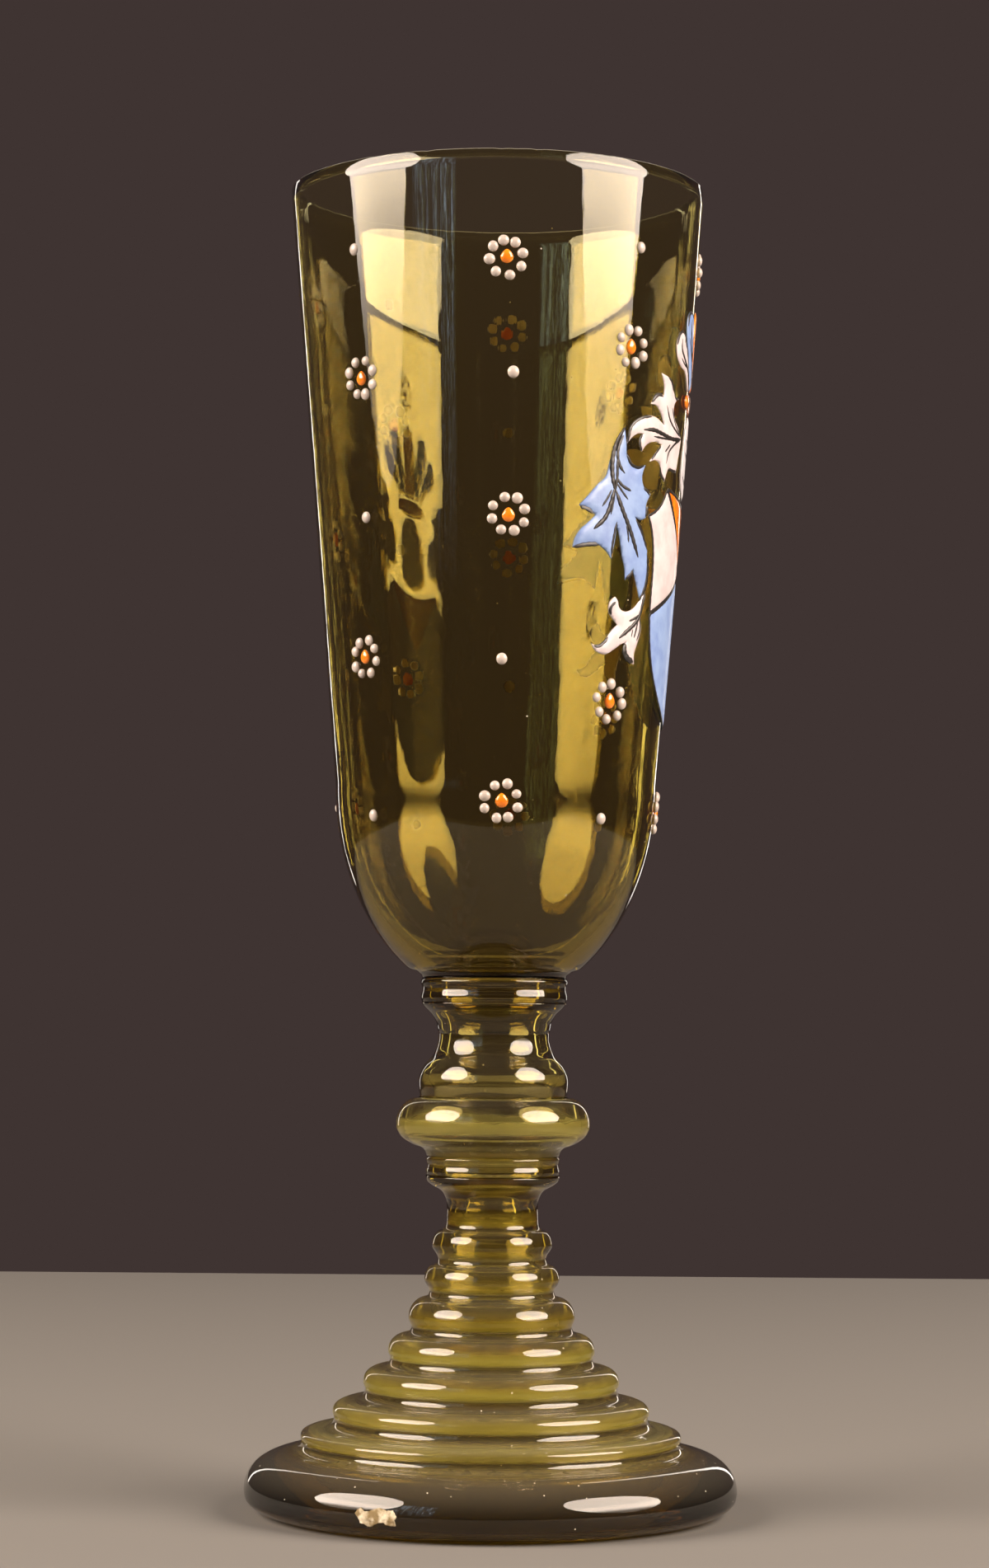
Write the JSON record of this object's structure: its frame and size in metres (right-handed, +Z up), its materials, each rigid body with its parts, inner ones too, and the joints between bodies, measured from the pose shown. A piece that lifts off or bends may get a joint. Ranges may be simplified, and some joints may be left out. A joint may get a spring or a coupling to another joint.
{
  "type": "enamelled glass goblet",
  "caption": "Tall tapered glass bowl on a hollow baluster stem and a stepped hollow foot, with bead flowers and a coat of arms in raised enamel.",
  "frame": {"origin": "centre of the foot's contact ring, on the surface that the goblet stands on", "axes": "+Z up the goblet's axis to the rim; +X out through the armorial panel; the picture looks along +Y"},
  "size_m": [0.1186, 0.1186, 0.32],
  "materials": {
    "olive_glass": "fire-polished blown glass",
    "white_enamel": "fired enamel, soft gloss",
    "blue_enamel": "fired enamel, satin",
    "orange_enamel": "fired enamel, gloss",
    "grey_enamel": "fired enamel, satin",
    "old_paper": "torn matt paper"
  },
  "bodies": {
    "root": {"bowl": "olive_glass", "bowl_collar": "olive_glass", "baluster": "olive_glass", "ring_knop": "olive_glass", "lower_collar": "olive_glass", "foot": "olive_glass", "bead_flower_1": "white_enamel", "bead_flower_2": "white_enamel", "bead_flower_3": "white_enamel", "enamel_dot_1": "white_enamel", "enamel_dot_2": "white_enamel", "bead_flower_4": "white_enamel", "bead_flower_5": "white_enamel", "enamel_dot_3": "white_enamel", "enamel_dot_4": "white_enamel", "bead_flower_6": "white_enamel", "bead_flower_7": "white_enamel", "bead_flower_8": "white_enamel", "bead_flower_9": "white_enamel", "enamel_dot_5": "white_enamel", "enamel_dot_6": "white_enamel", "bead_flower_10": "white_enamel", "bead_flower_11": "white_enamel", "bead_flower_12": "white_enamel", "enamel_dot_7": "white_enamel", "enamel_dot_8": "white_enamel", "bead_flower_13": "white_enamel", "bead_flower_14": "white_enamel", "enamel_dot_9": "white_enamel", "enamel_dot_10": "white_enamel", "enamel_dot_11": "white_enamel", "bead_flower_15": "white_enamel", "bead_flower_16": "white_enamel", "bead_flower_17": "white_enamel", "enamel_dot_12": "white_enamel", "enamel_dot_13": "white_enamel", "bead_flower_18": "white_enamel", "bead_flower_19": "white_enamel", "enamel_dot_14": "white_enamel", "enamel_dot_15": "white_enamel", "enamel_dot_16": "white_enamel", "shield_chief": "orange_enamel", "left_shield_flank": "white_enamel", "right_shield_flank": "white_enamel", "shield_base": "blue_enamel", "left_white_leaf": "white_enamel", "right_white_leaf": "white_enamel", "left_blue_leaf": "blue_enamel", "right_blue_leaf": "blue_enamel", "left_lower_leaf": "white_enamel", "right_lower_leaf": "white_enamel", "left_white_plume": "white_enamel", "right_white_plume": "white_enamel", "left_blue_plume": "blue_enamel", "right_blue_plume": "blue_enamel", "centre_plume": "orange_enamel", "torse": "orange_enamel", "helm": "grey_enamel", "label_scrap": "old_paper"}
  },
  "joints": []
}
